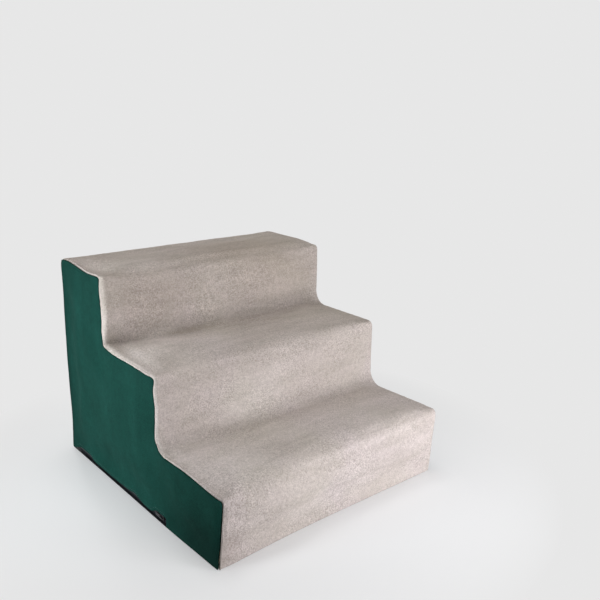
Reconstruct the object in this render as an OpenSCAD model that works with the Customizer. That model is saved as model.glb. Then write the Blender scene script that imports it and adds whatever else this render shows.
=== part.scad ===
// Three-step pet stairs: glued foam slabs in a fitted cover that closes with a zip round its base.
// Millimetres. X is the width, Y the depth, Z is up, and the low step faces -Y.
// The origin is on the floor under the middle of the stairs.

/* [Steps] */
// Width over both side panels
stairs_w = 389.9; // [200:0.1:700]
// Depth of one step
step_run = 137.17; // [100:0.01:250]
// Height of one step
step_rise = 103.3; // [75:0.1:180]
// Radius of the nose of each step
nose_r = 12; // [5:0.5:25]
// Radius of the plush where it spans the corner behind a tread
corner_r = 22; // [5:0.5:35]
// How far the foot of the front riser is drawn in behind its nose
foot_tuck = 6; // [0:0.5:12]

/* [Cover] */
// Thickness of the plush on treads and risers
plush_t = 3; // [1:0.1:4.5]
// Thickness of the velvet on the sides and the back
panel_t = 1.5; // [0.8:0.1:2.5]
// Thickness of the non-slip base cloth
base_t = 1.4; // [0.8:0.1:3]

/* [Zip] */
// Distance from the rear face to the zip's ends on both sides
zip_reach = 290; // [120:1:340]
// Radius of the chain round the two rear corners
bend_r = 12; // [10:0.5:30]
// Width of the closed chain
chain_w = 5.6; // [4.8:0.1:7]
// Thickness of the teeth
tooth_t = 1.8; // [1.2:0.1:2.6]
// Distance between neighbouring teeth in one row
tooth_pitch = 2.5; // [2:0.1:4]
// Gap between a tooth and its neighbour in the other row
tooth_gap = 0.25; // [0.1:0.01:0.35]
// How much wider a tooth is at its head than half-way up
tooth_flare = 0.2; // [0:0.01:0.3]
// Height of the strip that the teeth of one row stand on
spine_w = 1.5; // [1:0.1:2]
// Thickness of the zip tape
tape_t = 0.5; // [0.3:0.05:0.8]
// Length of bare tape in front of a stop
tape_tail = 5; // [3:0.5:15]
// Length of each stop
stop_l = 2.5; // [1.5:0.1:5]

/* [Slider] */
// Length of the slider
slider_l = 10; // [9:0.1:14]
// Thickness of its plates and flanges
plate_t = 0.9; // [0.6:0.05:1.4]
// How much the slider widens on each side towards its two mouths
mouth_flare = 0.8; // [0:0.1:1.5]
// Clearance between the slider and the chain
run_gap = 0.3; // [0.25:0.05:0.5]
// Room left round the slider for its travel
travel_gap = 0.8; // [0.5:0.1:2]
// Length of the wedge that parts the rows
wedge_l = 3.4; // [2:0.1:4]
// Width of the wedge
wedge_w = 2.8; // [2:0.1:3.6]
// Length of the bridge that holds the pull
bridge_l = 7.8; // [6:0.1:8.5]
// Width of the bridge
bridge_w = 1.6; // [1:0.1:2.4]
// Thickness of the bridge
bridge_t = 0.9; // [0.6:0.05:1.2]
// Height of the room under the bridge
bridge_room = 1.8; // [1.7:0.05:3]
// Length of the pull from its hinge
pull_l = 14; // [10:0.5:30]
// Thickness of the pull
pull_t = 1; // [0.6:0.05:1.2]
// Width of each of the two arms of the pull
pull_arm = 1; // [0.6:0.05:1.6]
// Clearance between the pull and the bridge
pull_gap = 0.4; // [0.3:0.05:0.8]

/* [Hidden] */

step_count = 3;
arc_steps = 8;
round_fn = 40;

stairs_d = step_count * step_run;
stairs_h = step_count * step_rise;
inner_w = stairs_w - 2 * panel_t;
nose_z = step_rise - nose_r;
foot_lean = atan(foot_tuck / nose_z);
past = 1;

// The slider's reach from the chain's middle plane, outward and inward, and its half widths
plate_out = tooth_t / 2 + run_gap + plate_t;
bridge_out = plate_out + bridge_room + bridge_t;
rear_half_w = chain_w / 2 + run_gap + plate_t;
front_half_w = rear_half_w + mouth_flare;
pull_w = bridge_w + 2 * (pull_gap + pull_arm);

// The chain's middle plane lies far enough in for the bridge to stay behind the panels' faces
zip_inset = bridge_out + pull_gap;
zip_z = base_t + tape_t + travel_gap + front_half_w;
chain_top = zip_z + chain_w / 2;
chain_bottom = zip_z - chain_w / 2;
zip_front = stairs_d / 2 - zip_reach;
chain_x = stairs_w / 2 - zip_inset;
chain_y = stairs_d / 2 - zip_inset;
bend_x = chain_x - bend_r;
bend_y = chain_y - bend_r;

// The velvet hangs over the zip down to hem_z, and its fold above the slider carries the tape
hem_z = zip_z + pull_w / 2 + pull_gap;
fold_z = zip_z + front_half_w + travel_gap;
tape_top = fold_z + panel_t;
foam_inset = zip_inset + plate_out + travel_gap;

// Along the left side: stops, then the slider, then the rows of teeth
slider_front = zip_front + tape_tail + stop_l + run_gap;
slider_y = slider_front + slider_l / 2;
wedge_front = plate_t;
left_rows_y = slider_front + wedge_front + wedge_l + run_gap;
right_rows_y = zip_front + tape_tail + stop_l;

tooth_w = tooth_pitch / 2 - tooth_gap;
row_root = chain_w / 2 - spine_w;
tooth_tip = row_root - tooth_gap;
hinge_out = plate_out + bridge_room / 2;

velvet_green = [0.12, 0.29, 0.26];
plush_greige = [0.70, 0.65, 0.61];
foam_cream = [0.93, 0.90, 0.80];
cloth_black = [0.09, 0.10, 0.11];
zip_black = [0.05, 0.05, 0.06];
slider_grey = [0.20, 0.20, 0.21];

// --- Outlines with rounded corners ---

function unit(v) = v / norm(v);

function direction(angle) = [cos(angle), sin(angle)];

// Points of the arc of radius r that rounds corner i of an outline
function corner_arc(points, i, r) =
    let (
        count = len(points),
        back = unit(points[(i + count - 1) % count] - points[i]),
        ahead = unit(points[(i + 1) % count] - points[i]),
        half = acos(back * ahead) / 2,
        centre = points[i] + unit(back + ahead) * r / sin(half),
        from = points[i] + back * r / tan(half) - centre,
        to = points[i] + ahead * r / tan(half) - centre,
        start = atan2(from[1], from[0]),
        turn = (from[0] * to[1] - from[1] * to[0] > 0 ? 1 : -1) * (180 - 2 * half)
    )
    [for (k = [0 : arc_steps]) centre + r * direction(start + turn * k / arc_steps)];

// An outline with corner i rounded to radii[i]
function rounded(points, radii) =
    [for (i = [0 : len(points) - 1]) each (radii[i] > 0 ? corner_arc(points, i, radii[i]) : [points[i]])];

// Y of the front riser at height z, drawn in by d
function front_y(z, d) = -stairs_d / 2 + foot_tuck * (1 - z / nose_z) + d / cos(foot_lean);

// Y of the riser below the nose of step k, with its top at height z
function riser_y(k, z, d) = k == 0 ? front_y(z, d) : k * step_run - stairs_d / 2 + d;

// The stairs from the side as [y, z], drawn in by skin on treads and risers, rear and under elsewhere
function stair_outline(skin, rear, under, convex_r, concave_r) =
    rounded(
        [
            [front_y(under, skin), under],
            [stairs_d / 2 - rear, under],
            [stairs_d / 2 - rear, stairs_h - skin],
            for (k = [step_count - 1 : -1 : 0])
                each concat(
                    [[riser_y(k, (k + 1) * step_rise - skin, skin), (k + 1) * step_rise - skin]],
                    k > 0 ? [[riser_y(k, 0, skin), k * step_rise - skin]] : []
                )
        ],
        [0, 0, 0, for (k = [step_count - 1 : -1 : 0]) each concat([convex_r], k > 0 ? [concave_r] : [])]
    );

// The plan of the zip's run, drawn in by d: square at the front and round at the two rear corners
function zip_plan(d, front) =
    let (x = stairs_w / 2 - d, y = stairs_d / 2 - d, r = bend_r + zip_inset - d)
    rounded([[-x, front], [x, front], [x, y], [-x, y]], [0, 0, r, r]);

// --- Placing ---

// Turns a side outline in [y, z] into a solid of width w that starts at x
module across(x, w)
    translate([x, 0, 0])
        rotate([90, 0, 90])
            linear_extrude(w)
                children();

// Puts a piece of the zip on the left side: its X runs to the rear, its Y up and its Z outward
module on_left_side(y)
    translate([-chain_x, y, zip_z])
        mirror([1, 0, 0])
            rotate([90, 0, 90])
                children();

// A strip that follows the zip's run, between two distances in from the panels' faces
module zip_band(outer, inner, z, h)
    translate([0, 0, z])
        linear_extrude(h)
            difference() {
                polygon(zip_plan(outer, zip_front));
                polygon(zip_plan(inner, zip_front - past));
            }

// --- Foam core ---

// Where the zip and its slider press the foam's lower edge in
module zip_rebate()
    difference() {
        translate([-stairs_w / 2, zip_front, 0])
            cube([stairs_w, zip_reach, tape_top]);
        translate([0, 0, -past])
            linear_extrude(tape_top + 2 * past)
                polygon(zip_plan(foam_inset, zip_front - past));
    }

// The foam slab of step k, counted from the floor
module core_block(k)
    color(foam_cream)
        across(-inner_w / 2, inner_w)
            intersection() {
                polygon(stair_outline(plush_t, panel_t, base_t, nose_r - plush_t, 0));
                translate([-stairs_d, k == 0 ? -past : k * step_rise - plush_t])
                    square([2 * stairs_d, k == 0 ? step_rise - plush_t + past : step_rise]);
            }

module core_block_lower()
    color(foam_cream)
        difference() {
            core_block(0);
            zip_rebate();
        }

module core_block_middle() core_block(1);

module core_block_upper() core_block(2);

// --- Cover ---

module steps_panel()
    color(plush_greige)
        across(-inner_w / 2, inner_w)
            difference() {
                polygon(stair_outline(0, 0, 0, nose_r, corner_r));
                polygon(stair_outline(plush_t, -past, -past, nose_r - plush_t, corner_r + plush_t));
            }

// A side panel on the side of X that side gives, with the fold that carries the upper tape
module side_panel(side)
    color(velvet_green) {
        difference() {
            across(side * (stairs_w - panel_t) / 2 - panel_t / 2, panel_t)
                polygon(stair_outline(0, 0, 0, nose_r, corner_r));
            translate([-stairs_w, zip_front, -past])
                cube([2 * stairs_w, zip_reach + past, hem_z + past]);
        }
        fold_w = zip_inset - tape_t / 2 - panel_t;
        translate([side * (inner_w - fold_w) / 2 - fold_w / 2, zip_front, fold_z])
            cube([fold_w, bend_y - zip_front, panel_t]);
    }

module left_side_panel() side_panel(-1);

module right_side_panel() side_panel(1);

module back_panel()
    color(velvet_green) {
        translate([-inner_w / 2, stairs_d / 2 - panel_t, hem_z])
            cube([inner_w, panel_t, stairs_h - plush_t - hem_z]);
        translate([-bend_x, chain_y + tape_t / 2, fold_z])
            cube([2 * bend_x, zip_inset - tape_t / 2 - panel_t, panel_t]);
    }

module base_panel()
    color(cloth_black)
        across(-inner_w / 2, inner_w)
            polygon([
                [front_y(0, plush_t), 0],
                [stairs_d / 2 - panel_t, 0],
                [stairs_d / 2 - panel_t, base_t],
                [front_y(base_t, plush_t), base_t]
            ]);

// --- Zip ---

module zip_tape_upper()
    color(zip_black)
        zip_band(zip_inset - tape_t / 2, zip_inset + tape_t / 2, chain_top, tape_top - chain_top);

// The lower tape turns in along the base cloth
module zip_tape_lower()
    color(zip_black) {
        zip_band(zip_inset - tape_t / 2, zip_inset + tape_t / 2, base_t, chain_bottom - base_t);
        zip_band(zip_inset - tape_t / 2, foam_inset, base_t, tape_t);
    }

// One tooth of the row on the given side of the chain's middle, centred at s, from its root past the middle
function tooth(s, side, root) = [
    [s - side * (tooth_w - tooth_flare) / 2, side * root],
    [s - side * (tooth_w + tooth_flare) / 2, -side * tooth_tip],
    [s + side * (tooth_w + tooth_flare) / 2, -side * tooth_tip],
    [s + side * (tooth_w - tooth_flare) / 2, side * root]
];

// Where tooth i of a row stands, as a number of pitches: the two rows are half a pitch apart
function tooth_place(i, side) = i + 0.5 - side / 4;

// A straight stretch of one row, as its spine and teeth in one outline
module row_run(length, side) {
    teeth = round(length / tooth_pitch);
    in_order = side > 0 ? [0 : teeth - 1] : [teeth - 1 : -1 : 0];
    linear_extrude(tooth_t, center = true)
        polygon([
            [side > 0 ? 0 : length, side * chain_w / 2],
            [side > 0 ? 0 : length, side * row_root],
            for (i = in_order) each tooth(tooth_place(i, side) * length / teeth, side, row_root),
            [side > 0 ? length : 0, side * row_root],
            [side > 0 ? length : 0, side * chain_w / 2]
        ]);
}

// The same row round the rear corner on the side of X that end gives
module row_bend(end, side) {
    teeth = round(PI / 2 * bend_r / tooth_pitch);
    angles = [for (k = [0 : arc_steps]) 90 - end * 90 * k / arc_steps];
    translate([end * bend_x, bend_y, zip_z + (side > 0 ? row_root : -chain_w / 2)])
        linear_extrude(spine_w)
            polygon([
                for (k = [0 : arc_steps]) (bend_r + tooth_t / 2) * direction(angles[k]),
                for (k = [arc_steps : -1 : 0]) (bend_r - tooth_t / 2) * direction(angles[k])
            ]);
    for (i = [0 : teeth - 1])
        translate([end * bend_x, bend_y, zip_z])
            rotate(90 - end * 90 + end * tooth_place(i, side) * 90 / teeth)
                translate([bend_r, 0, 0])
                    rotate([90, 0, 90])
                        linear_extrude(tooth_t, center = true)
                            polygon(tooth(0, side, row_root + spine_w / 2));
}

// One whole row, from the slider round the back to the bottom stop
module zip_teeth(side)
    color(zip_black) {
        translate([-chain_x, left_rows_y, zip_z])
            rotate([90, 0, 90])
                row_run(bend_y - left_rows_y, side);
        translate([-bend_x, chain_y, zip_z])
            rotate([90, 0, 0])
                row_run(2 * bend_x, side);
        translate([chain_x, right_rows_y, zip_z])
            rotate([90, 0, 90])
                row_run(bend_y - right_rows_y, side);
        for (end = [-1, 1])
            row_bend(end, side);
    }

module zip_teeth_upper() zip_teeth(1);

module zip_teeth_lower() zip_teeth(-1);

// One stop on the edge of each tape, where the closed slider comes to rest
module zip_top_stops()
    color(zip_black)
        for (side = [-1, 1])
            on_left_side(zip_front + tape_tail)
                translate([0, side * (chain_w - spine_w) / 2 - spine_w / 2, -tooth_t / 2])
                    cube([stop_l, spine_w, tooth_t]);

// The block that joins both tapes at the other end
module zip_bottom_stop()
    color(zip_black)
        translate([chain_x - tooth_t / 2, zip_front + tape_tail, chain_bottom])
            cube([tooth_t, stop_l, chain_w]);

// --- Slider and pull ---

// The slider from outside, widened towards its mouths at -X, with its sides drawn in by d
module slider_outline(d, length, r)
    polygon(rounded(
        [
            [-length / 2, -front_half_w + d],
            [length / 2, -rear_half_w + d],
            [length / 2, rear_half_w - d],
            [-length / 2, front_half_w - d]
        ],
        [r, r, r, r]
    ));

// The wedge between the two mouths, from above
module wedge_outline()
    polygon([
        [wedge_front, -wedge_w / 4],
        [wedge_front + wedge_l / 3, -wedge_w / 2],
        [wedge_front + wedge_l, 0],
        [wedge_front + wedge_l / 3, wedge_w / 2],
        [wedge_front, wedge_w / 4]
    ]);

// The arch that the pull hangs in, from the side
module bridge_outline() {
    height = bridge_room + bridge_t;
    difference() {
        polygon(rounded(
            [[-bridge_l / 2, 0], [bridge_l / 2, 0], [bridge_l / 2, height], [-bridge_l / 2, height]],
            [0, 0, bridge_t, bridge_t]
        ));
        translate([-bridge_l / 2 + bridge_t, -past])
            square([bridge_l - 2 * bridge_t, bridge_room + past]);
    }
}

module zip_slider()
    color(slider_grey)
        on_left_side(slider_y) {
            for (face = [-1, 1]) {
                translate([0, 0, face * (plate_out - plate_t / 2)])
                    linear_extrude(plate_t, center = true)
                        slider_outline(0, slider_l, plate_t);
                flange_h = (tooth_t - tape_t) / 2;
                translate([0, 0, face * (plate_out - plate_t - flange_h / 2)])
                    linear_extrude(flange_h, center = true)
                        difference() {
                            slider_outline(0, slider_l, plate_t);
                            slider_outline(plate_t, slider_l + 2 * past, 0);
                        }
            }
            translate([-slider_l / 2, 0, 0])
                linear_extrude(2 * (plate_out - plate_t), center = true)
                    wedge_outline();
            translate([0, 0, plate_out])
                rotate([90, 0, 0])
                    linear_extrude(bridge_w, center = true)
                        bridge_outline();
        }

// The pull lies back along the closed chain, hinged on its bar under the bridge
module zip_pull()
    color(slider_grey)
        on_left_side(slider_y)
            translate([0, 0, hinge_out]) {
                rotate([90, 0, 0])
                    cylinder(d = pull_t, h = pull_w, center = true, $fn = round_fn);
                linear_extrude(pull_t, center = true)
                    difference() {
                        polygon(rounded(
                            [[0, -pull_w / 2], [pull_l, -pull_w / 2], [pull_l, pull_w / 2], [0, pull_w / 2]],
                            [0, pull_w / 3, pull_w / 3, 0]
                        ));
                        translate([pull_t / 2, pull_arm - pull_w / 2])
                            square([bridge_l / 2 + pull_gap - pull_t / 2, pull_w - 2 * pull_arm]);
                    }
            }

core_block_lower();
core_block_middle();
core_block_upper();
steps_panel();
left_side_panel();
right_side_panel();
back_panel();
base_panel();
zip_tape_upper();
zip_tape_lower();
zip_teeth_upper();
zip_teeth_lower();
zip_top_stops();
zip_bottom_stop();
zip_slider();
zip_pull();
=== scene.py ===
"""Looks of the three-step pet stairs: the sewn cover, the foam, the zip's finishes, lamps and camera."""

import math

import bmesh
import bpy
from mathutils import Matrix, Vector, kdtree, noise


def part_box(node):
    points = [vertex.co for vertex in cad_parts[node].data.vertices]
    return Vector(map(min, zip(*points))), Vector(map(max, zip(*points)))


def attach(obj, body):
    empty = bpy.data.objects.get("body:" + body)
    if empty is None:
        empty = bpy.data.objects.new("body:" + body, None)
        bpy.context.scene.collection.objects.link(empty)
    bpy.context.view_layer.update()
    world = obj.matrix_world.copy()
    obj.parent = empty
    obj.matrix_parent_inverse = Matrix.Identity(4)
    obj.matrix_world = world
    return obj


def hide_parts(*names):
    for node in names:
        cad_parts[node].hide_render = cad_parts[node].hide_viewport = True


MM = 0.001
TINY = 0.01 * MM

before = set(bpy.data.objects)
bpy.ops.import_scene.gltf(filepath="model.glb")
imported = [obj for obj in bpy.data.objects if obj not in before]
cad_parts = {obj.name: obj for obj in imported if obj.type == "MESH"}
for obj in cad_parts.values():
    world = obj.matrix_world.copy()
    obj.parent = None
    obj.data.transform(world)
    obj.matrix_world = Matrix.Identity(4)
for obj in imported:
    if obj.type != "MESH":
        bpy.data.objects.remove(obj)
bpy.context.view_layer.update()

# ------------ sizes, from the frame

STEPS = 3
width = -2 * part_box("left_side_panel")[0].x
back_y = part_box("left_side_panel")[1].y
front_y = -back_y
top_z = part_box("steps_panel")[1].z
run = (back_y - front_y) / STEPS
rise = top_z / STEPS
foot_tuck = 6 * MM

nose_radius = 12 * MM
bridge_radius = 22 * MM
side_radius = 5 * MM
back_top_radius = 6 * MM
foot_radius = 4 * MM
foot_flat = 0.3
nose_segments, bridge_segments, side_segments, small_segments = 5, 6, 4, 3
grid_step = 7 * MM
fine_step = 2 * MM
fine_rows = 5
merge_gap = 0.9 * MM

zip_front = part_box("zip_tape_upper")[0].y
tape_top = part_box("zip_tape_upper")[1].z
hem_z = 10.1 * MM
rim_z = side_radius

plush_thick = 2.4 * MM
velvet_thick = 1.2 * MM
base_thick = 0.9 * MM
base_lift = 0.5 * MM
foam_in = 4.8 * MM

left_x, right_x = -width / 2, width / 2

# Panels of the cover, and kinds of their joins
PLUSH, LEFT, RIGHT, BACK, BASE, OPEN = 1, 2, 3, 4, 5, 6
SEAM, HEM = 1, 2


# ------------ small helpers

def new_object(name, bm, smooth=True):
    """A finished mesh object at the origin from a bmesh, which is freed."""
    mesh = bpy.data.meshes.new(name)
    bm.to_mesh(mesh)
    bm.free()
    for polygon in mesh.polygons:
        polygon.use_smooth = smooth
    obj = bpy.data.objects.new(name, mesh)
    bpy.context.scene.collection.objects.link(obj)
    return obj


def apply_modifiers(obj):
    """Swaps the object's mesh for the one that its modifiers give, and clears them."""
    graph = bpy.context.evaluated_depsgraph_get()
    mesh = bpy.data.meshes.new_from_object(obj.evaluated_get(graph))
    obj.modifiers.clear()
    old = obj.data
    obj.data = mesh
    name = old.name
    bpy.data.meshes.remove(old)
    mesh.name = name


def between(low, high, step):
    """Evenly spaced places strictly between low and high, about step apart."""
    count = max(1, round((high - low) / step))
    return [low + (high - low) * i / count for i in range(1, count)]


def ease(t):
    """0 to 1 smoothly as t goes from 0 to 1."""
    t = min(1.0, max(0.0, t))
    return t * t * (3 - 2 * t)


def bell(x, centre, reach):
    """1 at the centre, falling smoothly to 0 at reach from it."""
    return ease(1 - abs(x - centre) / reach)


def along(stops, x):
    """A smooth curve through the (place, value) pairs of stops."""
    if x <= stops[0][0]:
        return stops[0][1]
    for (x0, y0), (x1, y1) in zip(stops, stops[1:]):
        if x <= x1:
            return y0 + (y1 - y0) * ease((x - x0) / (x1 - x0))
    return stops[-1][1]


def tree_of(points):
    """A tree that finds the nearest of the points."""
    tree = kdtree.KDTree(len(points))
    for i, point in enumerate(points):
        tree.insert(point, i)
    tree.balance()
    return tree


# ------------ the stair form

def round_edges(bm, edges, radius, segments):
    bmesh.ops.bevel(
        bm, geom=edges, offset=radius, offset_type="OFFSET", affect="EDGES",
        segments=segments, profile=0.5, material=-1,
    )


def edges_where(bm, passes):
    """The edges whose points both pass a test."""
    return [e for e in bm.edges if passes(e.verts[0]) and passes(e.verts[1])]


def edges_along_x(bm, y, z):
    """The edges along X that pass through y and z."""
    return edges_where(bm, lambda v: abs(v.co.y - y) < TINY and abs(v.co.z - z) < TINY)


def cut(bm, axis, places):
    """Cuts the mesh across an axis at each place, unless points already lie there."""
    snap = 0.05 * MM
    for place in places:
        bmesh.ops.bisect_plane(
            bm, geom=bm.verts[:] + bm.edges[:] + bm.faces[:], dist=snap,
            plane_co=axis * place, plane_no=axis,
        )


def settled(bm):
    """The same mesh built anew in order of place, because bevels leave an order that varies by run."""
    fresh = bmesh.new()
    verts = {place: fresh.verts.new(place) for place in sorted(v.co[:] for v in bm.verts)}
    rings = []
    for face in bm.faces:
        ring = [v.co[:] for v in face.verts]
        start = ring.index(min(ring))
        rings.append(ring[start:] + ring[:start])
    for ring in sorted(rings):
        fresh.faces.new([verts[place] for place in ring])
    bm.free()
    return fresh


noses = [(front_y + k * run, (k + 1) * rise) for k in range(STEPS)]
corners = [(front_y + k * run, k * rise) for k in range(1, STEPS)]


def stair_form():
    """The cover's outside as one closed, rounded and evenly cut mesh."""
    lean = foot_tuck / (rise - nose_radius)
    foot = (front_y + foot_tuck, 0.0)
    first_nose = (front_y - lean * nose_radius, rise)
    outline = [foot, first_nose]
    for corner, nose in zip(corners, noses[1:]):
        outline += [corner, nose]
    outline += [(back_y, top_z), (back_y, 0.0)]

    bm = bmesh.new()
    side = bm.faces.new([bm.verts.new((left_x, y, z)) for y, z in outline])
    swept = bmesh.ops.extrude_face_region(bm, geom=[side])["geom"]
    moved = [v for v in swept if isinstance(v, bmesh.types.BMVert)]
    bmesh.ops.translate(bm, verts=moved, vec=(width, 0, 0))
    bmesh.ops.recalc_face_normals(bm, faces=bm.faces[:])

    for y, z in [first_nose] + noses[1:]:
        round_edges(bm, edges_along_x(bm, y, z), nose_radius, nose_segments)
    for y, z in corners:
        round_edges(bm, edges_along_x(bm, y, z), bridge_radius, bridge_segments)
    round_edges(bm, edges_along_x(bm, back_y, top_z), back_top_radius, small_segments)
    round_edges(bm, edges_along_x(bm, *foot), foot_radius, small_segments)
    round_edges(bm, edges_along_x(bm, back_y, 0.0), foot_radius, small_segments)
    for end in (-1, 1):
        loop = edges_where(bm, lambda v: abs(v.co.x - end * width / 2) < TINY)
        round_edges(bm, loop, side_radius, side_segments)
    bm = settled(bm)

    flat_end = width / 2 - side_radius
    cut(bm, Vector((1, 0, 0)), between(-flat_end, flat_end, grid_step))
    rows = range(1, fine_rows + 1)
    cut(bm, Vector((1, 0, 0)), [end * (flat_end - i * fine_step) for end in (-1, 1) for i in rows])
    y_keys = [front_y + nose_radius]
    z_keys = [rim_z, hem_z, rise - nose_radius]
    for y, z in corners:
        y_keys += [y - bridge_radius, y, y + nose_radius]
        z_keys += [z, z + bridge_radius, z + rise - nose_radius]
    y_keys += [back_y - back_top_radius]
    z_keys += [top_z - back_top_radius]
    for axis, keys, extra in (((0, 1, 0), y_keys, [zip_front]), ((0, 0, 1), z_keys, [])):
        places = keys + extra
        for low, high in zip(keys, keys[1:]):
            places += between(low, high, grid_step)
        cut(bm, Vector(axis), places)
    bmesh.ops.remove_doubles(bm, verts=bm.verts[:], dist=merge_gap)
    bmesh.ops.recalc_face_normals(bm, faces=bm.faces[:])
    return bm


# ------------ places along the rounded side edges

BACK_TOP = STEPS * run + top_z


def walked(p):
    """How far up the risers and along the treads a point of the outline lies, and then on down the back."""
    if p.y > back_y - side_radius and p.z < top_z - back_top_radius:
        return BACK_TOP + top_z - p.z
    return p.y - front_y + p.z


class Outline:
    """The form's outline from the side, as close points with the way out at each."""

    def __init__(self, bm):
        slice_x = side_radius + left_x
        self.ways_out = []
        points = []
        for edge in edges_where(bm, lambda v: abs(v.co.x - slice_x) < TINY):
            a, b = edge.verts
            if max(a.co.z, b.co.z) < TINY:
                continue
            count = math.ceil(edge.calc_length() / MM)
            for i in range(count):
                share = (i + 0.5) / count
                p = a.co.lerp(b.co, share)
                points.append(Vector((0, p.y, p.z)))
                out = a.normal.lerp(b.normal, share)
                self.ways_out.append(Vector((0, out.y, out.z)).normalized())
        self.tree = tree_of(points)

    def place(self, p):
        """A point's distances in from the side and from the outline, its way out and its walk."""
        near, i, _ = self.tree.find(Vector((0, p.y, p.z)))
        out = self.ways_out[i]
        depth = max(0.0, (near - Vector((0, p.y, p.z))).dot(out))
        return width / 2 - abs(p.x), depth, out, walked(near)


HALF_BEND = side_radius * math.pi / 4


def bend_point(u):
    """How far in from side and outline the rounded edge is, at the distance u from its middle."""
    if u < -HALF_BEND:
        return 0.0, side_radius - HALF_BEND - u
    if u > HALF_BEND:
        return side_radius - HALF_BEND + u, 0.0
    angle = math.pi / 4 + u / side_radius
    return side_radius * (1 - math.cos(angle)), side_radius * (1 - math.sin(angle))


def bend_walk(from_side, depth):
    """The distance from the middle of the rounded edge, or None well inside the form."""
    skin = 0.2 * MM
    if from_side < side_radius and depth < side_radius:
        angle = math.atan2(side_radius - depth, side_radius - from_side)
        return side_radius * (angle - math.pi / 4)
    if from_side < TINY:
        return side_radius - HALF_BEND - depth
    if depth < skin:
        return from_side - side_radius + HALF_BEND
    return None


# Where each seam runs on its rounded edge: (distance walked, how far it slides round the edge), in mm
LEFT_SEAM = (
    (0, 1.4), (88, 1.4), (103, 1.6), (118, 0.0), (215, -1.0), (241, -3.6), (262, -7.4), (318, -7.6),
    (342, -4.4), (358, -3.4), (450, -4.0), (481, -6.6), (505, -9.6), (562, -10.2), (580, -7.6),
    (590, -2.4), (606, 1.4), (700, 3.4), (721, 2.0), (745, 0.0),
)
RIGHT_SEAM = (
    (0, -0.6), (103, -1.2), (200, -2.6), (344, -1.6), (460, -2.8), (584, -1.4), (721, 0.0), (745, 0.0),
)
# Distances walked to the middles of the upper risers, and to the lowest nose
TOP_RISER = 2 * run + 2.45 * rise
MIDDLE_RISER = run + 1.5 * rise
LOW_NOSE = rise


def left_edge_rounding(slid, t):
    """How much rounder the left edge is beside the lowest riser, or sharper beside the others."""
    crisp = 0.8 * bell(t, TOP_RISER, 75 * MM) + 1.2 * bell(t, MIDDLE_RISER, 58 * MM)
    crisp *= MM * bell(slid, 0, HALF_BEND)
    full = 2.6 * MM * ease((t - 6 * MM) / (36 * MM)) * ease((LOW_NOSE - t) / (15 * MM))
    full *= bell(slid, 0, 12 * MM)
    return full - crisp


def slide_seams(bm, places):
    """Slides the mesh round the rounded side edges, so that the seams wander as on a sewn cover."""
    reach = 24 * MM
    for v, (from_side, depth, out, t) in places.items():
        u = bend_walk(from_side, depth)
        if u is None or abs(u) > reach:
            continue
        shift = along(LEFT_SEAM if v.co.x < 0 else RIGHT_SEAM, t / MM) * MM
        old_side, old_depth = bend_point(u)
        slid = u + shift * bell(u, 0, reach)
        new_side, new_depth = bend_point(slid)
        if v.co.x < 0:
            rounding = left_edge_rounding(slid, t)
            new_side += rounding
            new_depth += rounding
        v.co -= out * (new_depth - old_depth)
        v.co.x -= math.copysign(1, v.co.x) * (new_side - old_side)


def tighten(v, corner, towards, old, new, share):
    """Sharpens a rounded corner, whose centre lies towards the given quarter, to a smaller radius."""
    inner_fade = 20 * MM
    y = (corner[0] + towards[0] * old - v.co.y) * towards[0]
    z = (corner[1] + towards[1] * old - v.co.z) * towards[1]
    reach = math.hypot(y, z)
    if y < 0 or z < 0 or reach < TINY:
        return
    c, s = max(y, z) / reach, min(y, z) / reach
    middle = old - new
    if old * s <= middle * c:
        edge = old / c
    else:
        edge = middle * (c + s) + math.sqrt(middle ** 2 * (c + s) ** 2 - 2 * middle ** 2 + new ** 2)
    if towards[0] > 0:
        fade = min(1.0, reach / old) ** 2
    else:
        fade = ease(1 - max(0.0, reach - old) / inner_fade)
    move = (edge - old) * fade * share / reach
    v.co.y -= y * move * towards[0]
    v.co.z -= z * move * towards[1]


def tighten_ends(bm):
    """The stitched ends hold the noses, and the upper left inner corner, sharper than the middle."""
    left_radius, right_radius, inner_radius = 3.5 * MM, 4.5 * MM, 2 * MM
    reach, top_left_reach, inner_reach = 48 * MM, 120 * MM, 110 * MM
    for v in bm.verts:
        from_side = width / 2 - abs(v.co.x)
        at_left = v.co.x < 0
        radius = left_radius if at_left else right_radius
        for nose in noses:
            far = top_left_reach if at_left and nose is noses[2] else reach
            tighten(v, nose, (1, -1), nose_radius, radius, bell(from_side, 0, far))
        if at_left:
            held = bell(from_side, 0, inner_reach)
            tighten(v, corners[1], (-1, 1), bridge_radius, inner_radius, held)


def flatten_foot(bm):
    """Presses the rounding along the floor to a low, firm edge, with the base a little higher within."""
    rim, slope = 5 * MM, 8 * MM
    for v in bm.verts:
        if v.co.z < TINY:
            edge = min(width / 2 - abs(v.co.x), back_y - v.co.y, v.co.y - front_y - foot_tuck)
            v.co.z = base_lift * ease((edge - rim) / slope)
        elif v.co.z < rim_z:
            v.co.z *= foot_flat


# ------------ softness

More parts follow.
